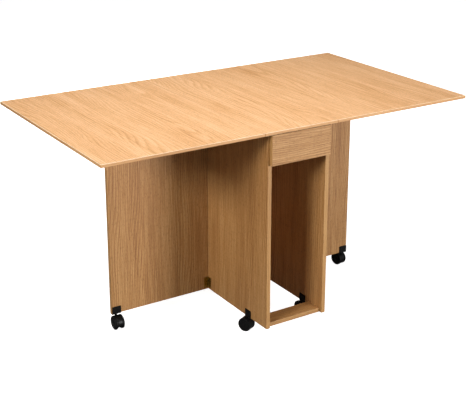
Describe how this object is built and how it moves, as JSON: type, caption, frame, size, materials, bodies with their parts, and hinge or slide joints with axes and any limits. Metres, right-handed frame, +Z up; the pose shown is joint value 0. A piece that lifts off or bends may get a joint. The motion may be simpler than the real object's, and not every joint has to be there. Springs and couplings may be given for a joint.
{
  "type": "sewing table",
  "caption": "Drop-leaf sewing and cutting table: narrow open tower with a drawer, two swing-out gate panels under the leaves, and twin-wheel casters.",
  "frame": {"origin": "on the floor, under the middle of the open table top", "axes": "+X along the length of the open top, +Y towards the back, with the drawer facing -Y, +Z up"},
  "size_m": [1.77, 1.003, 0.935],
  "materials": {
    "top_laminate": "light oak woodgrain laminate, satin, grain across the width",
    "board_laminate": "oak woodgrain laminate, satin, grain upright on panels and level on rails",
    "drawer_box": "plain birch, lightly sanded",
    "hardboard": "pressed hardboard, matt",
    "zinc_steel": "bright zinc plating",
    "brass": "brass plating, slightly dull",
    "black_steel": "black powder coat",
    "black_nylon": "moulded black nylon, satin",
    "caster_wheel": "moulded black nylon tyre and hub"
  },
  "bodies": {
    "tower": {"top_centre": "top_laminate", "side_panel_left": "board_laminate", "side_panel_right": "board_laminate", "stretcher_front": "board_laminate", "stretcher_rear": "board_laminate", "top_rail_front": "board_laminate", "rear_apron": "board_laminate", "drawer_runner_left": "zinc_steel", "drawer_runner_right": "zinc_steel", "leaf_hinge_left_centre_half": "zinc_steel", "leaf_hinge_left_pin": "zinc_steel", "gate_hinge_left_lower_panel_half": "brass", "gate_hinge_left_upper_panel_half": "brass", "leaf_hinge_right_centre_half": "zinc_steel", "leaf_hinge_right_pin": "zinc_steel", "gate_hinge_right_lower_panel_half": "brass", "gate_hinge_right_upper_panel_half": "brass", "caster_front_left_bracket": "black_steel", "caster_front_right_bracket": "black_steel", "caster_rear_left_bracket": "black_steel", "caster_rear_right_bracket": "black_steel"},
    "leaf_left": {"leaf_left": "top_laminate", "rest_block_left": "board_laminate", "leaf_hinge_left_leaf_half": "zinc_steel"},
    "gate_left": {"gate_left": "board_laminate", "gate_hinge_left_lower_gate_half": "brass", "gate_hinge_left_upper_gate_half": "brass", "caster_gate_left_bracket": "black_steel"},
    "leaf_right": {"leaf_right": "top_laminate", "rest_block_right": "board_laminate", "leaf_hinge_right_leaf_half": "zinc_steel"},
    "gate_right": {"gate_right": "board_laminate", "gate_hinge_right_lower_gate_half": "brass", "gate_hinge_right_upper_gate_half": "brass", "caster_gate_right_bracket": "black_steel"},
    "drawer": {"drawer_front": "board_laminate", "drawer_side_left": "drawer_box", "drawer_side_right": "drawer_box", "drawer_back": "drawer_box", "drawer_bottom": "hardboard"},
    "caster_gate_left": {"caster_gate_left_yoke": "black_nylon"},
    "caster_gate_left_wheel_1": {"caster_gate_left_wheel_1": "caster_wheel"},
    "caster_gate_left_wheel_2": {"caster_gate_left_wheel_2": "caster_wheel"},
    "caster_gate_right": {"caster_gate_right_yoke": "black_nylon"},
    "caster_gate_right_wheel_1": {"caster_gate_right_wheel_1": "caster_wheel"},
    "caster_gate_right_wheel_2": {"caster_gate_right_wheel_2": "caster_wheel"},
    "caster_front_left": {"caster_front_left_yoke": "black_nylon"},
    "caster_front_left_wheel_1": {"caster_front_left_wheel_1": "caster_wheel"},
    "caster_front_left_wheel_2": {"caster_front_left_wheel_2": "caster_wheel"},
    "caster_front_right": {"caster_front_right_yoke": "black_nylon"},
    "caster_front_right_wheel_1": {"caster_front_right_wheel_1": "caster_wheel"},
    "caster_front_right_wheel_2": {"caster_front_right_wheel_2": "caster_wheel"},
    "caster_rear_left": {"caster_rear_left_yoke": "black_nylon"},
    "caster_rear_left_wheel_1": {"caster_rear_left_wheel_1": "caster_wheel"},
    "caster_rear_left_wheel_2": {"caster_rear_left_wheel_2": "caster_wheel"},
    "caster_rear_right": {"caster_rear_right_yoke": "black_nylon"},
    "caster_rear_right_wheel_1": {"caster_rear_right_wheel_1": "caster_wheel"},
    "caster_rear_right_wheel_2": {"caster_rear_right_wheel_2": "caster_wheel"}
  },
  "joints": [
    {"name": "leaf_left_lift", "type": "hinge", "parent": "tower", "child": "leaf_left", "pos_m": [-0.17875, 0, 0.9197], "axis": [0, 1, 0], "range_deg": [0, 4]},
    {"name": "leaf_right_lift", "type": "hinge", "parent": "tower", "child": "leaf_right", "pos_m": [0.17875, 0, 0.9197], "axis": [0, -1, 0], "range_deg": [0, 4]},
    {"name": "gate_left_swing", "type": "hinge", "parent": "tower", "child": "gate_left", "pos_m": [-0.155, -0.017, 0.069], "axis": [0, 0, 1], "range_deg": [0, 90]},
    {"name": "gate_right_swing", "type": "hinge", "parent": "tower", "child": "gate_right", "pos_m": [0.155, -0.017, 0.069], "axis": [0, 0, -1], "range_deg": [0, 90]},
    {"name": "drawer_slide", "type": "slide", "parent": "tower", "child": "drawer", "axis": [0, -1, 0], "range_m": [0, 0.3]},
    {"name": "caster_gate_left_swivel", "type": "hinge", "parent": "gate_left", "child": "caster_gate_left", "pos_m": [-0.614, -0.005, 0.069], "axis": [0, 0, 1], "continuous": true},
    {"name": "caster_gate_left_wheel_1_roll", "type": "hinge", "parent": "caster_gate_left", "child": "caster_gate_left_wheel_1", "pos_m": [-0.614, -0.022, 0.031], "axis": [-1, 0, 0], "continuous": true},
    {"name": "caster_gate_left_wheel_2_roll", "type": "hinge", "parent": "caster_gate_left", "child": "caster_gate_left_wheel_2", "pos_m": [-0.614, -0.022, 0.031], "axis": [-1, 0, 0], "continuous": true},
    {"name": "caster_gate_right_swivel", "type": "hinge", "parent": "gate_right", "child": "caster_gate_right", "pos_m": [0.614, -0.005, 0.069], "axis": [0, 0, 1], "continuous": true},
    {"name": "caster_gate_right_wheel_1_roll", "type": "hinge", "parent": "caster_gate_right", "child": "caster_gate_right_wheel_1", "pos_m": [0.61105, 0.01174, 0.031], "axis": [0.9848, 0.1736, 0], "continuous": true},
    {"name": "caster_gate_right_wheel_2_roll", "type": "hinge", "parent": "caster_gate_right", "child": "caster_gate_right_wheel_2", "pos_m": [0.61105, 0.01174, 0.031], "axis": [0.9848, 0.1736, 0], "continuous": true},
    {"name": "caster_front_left_swivel", "type": "hinge", "parent": "tower", "child": "caster_front_left", "pos_m": [-0.143, -0.3442, 0.069], "axis": [0, 0, 1], "continuous": true},
    {"name": "caster_front_left_wheel_1_roll", "type": "hinge", "parent": "caster_front_left", "child": "caster_front_left_wheel_1", "pos_m": [-0.15019, -0.32879, 0.031], "axis": [0.9063, 0.4226, 0], "continuous": true},
    {"name": "caster_front_left_wheel_2_roll", "type": "hinge", "parent": "caster_front_left", "child": "caster_front_left_wheel_2", "pos_m": [-0.15019, -0.32879, 0.031], "axis": [0.9063, 0.4226, 0], "continuous": true},
    {"name": "caster_front_right_swivel", "type": "hinge", "parent": "tower", "child": "caster_front_right", "pos_m": [0.143, -0.3442, 0.069], "axis": [0, 0, 1], "continuous": true},
    {"name": "caster_front_right_wheel_1_roll", "type": "hinge", "parent": "caster_front_right", "child": "caster_front_right_wheel_1", "pos_m": [0.143, -0.3272, 0.031], "axis": [1, 0, 0], "continuous": true},
    {"name": "caster_front_right_wheel_2_roll", "type": "hinge", "parent": "caster_front_right", "child": "caster_front_right_wheel_2", "pos_m": [0.143, -0.3272, 0.031], "axis": [1, 0, 0], "continuous": true},
    {"name": "caster_rear_left_swivel", "type": "hinge", "parent": "tower", "child": "caster_rear_left", "pos_m": [-0.143, 0.3442, 0.069], "axis": [0, 0, 1], "continuous": true},
    {"name": "caster_rear_left_wheel_1_roll", "type": "hinge", "parent": "caster_rear_left", "child": "caster_rear_left_wheel_1", "pos_m": [-0.143, 0.3612, 0.031], "axis": [1, 0, 0], "continuous": true},
    {"name": "caster_rear_left_wheel_2_roll", "type": "hinge", "parent": "caster_rear_left", "child": "caster_rear_left_wheel_2", "pos_m": [-0.143, 0.3612, 0.031], "axis": [1, 0, 0], "continuous": true},
    {"name": "caster_rear_right_swivel", "type": "hinge", "parent": "tower", "child": "caster_rear_right", "pos_m": [0.143, 0.3442, 0.069], "axis": [0, 0, 1], "continuous": true},
    {"name": "caster_rear_right_wheel_1_roll", "type": "hinge", "parent": "caster_rear_right", "child": "caster_rear_right_wheel_1", "pos_m": [0.143, 0.3612, 0.031], "axis": [1, 0, 0], "continuous": true},
    {"name": "caster_rear_right_wheel_2_roll", "type": "hinge", "parent": "caster_rear_right", "child": "caster_rear_right_wheel_2", "pos_m": [0.143, 0.3612, 0.031], "axis": [1, 0, 0], "continuous": true}
  ]
}
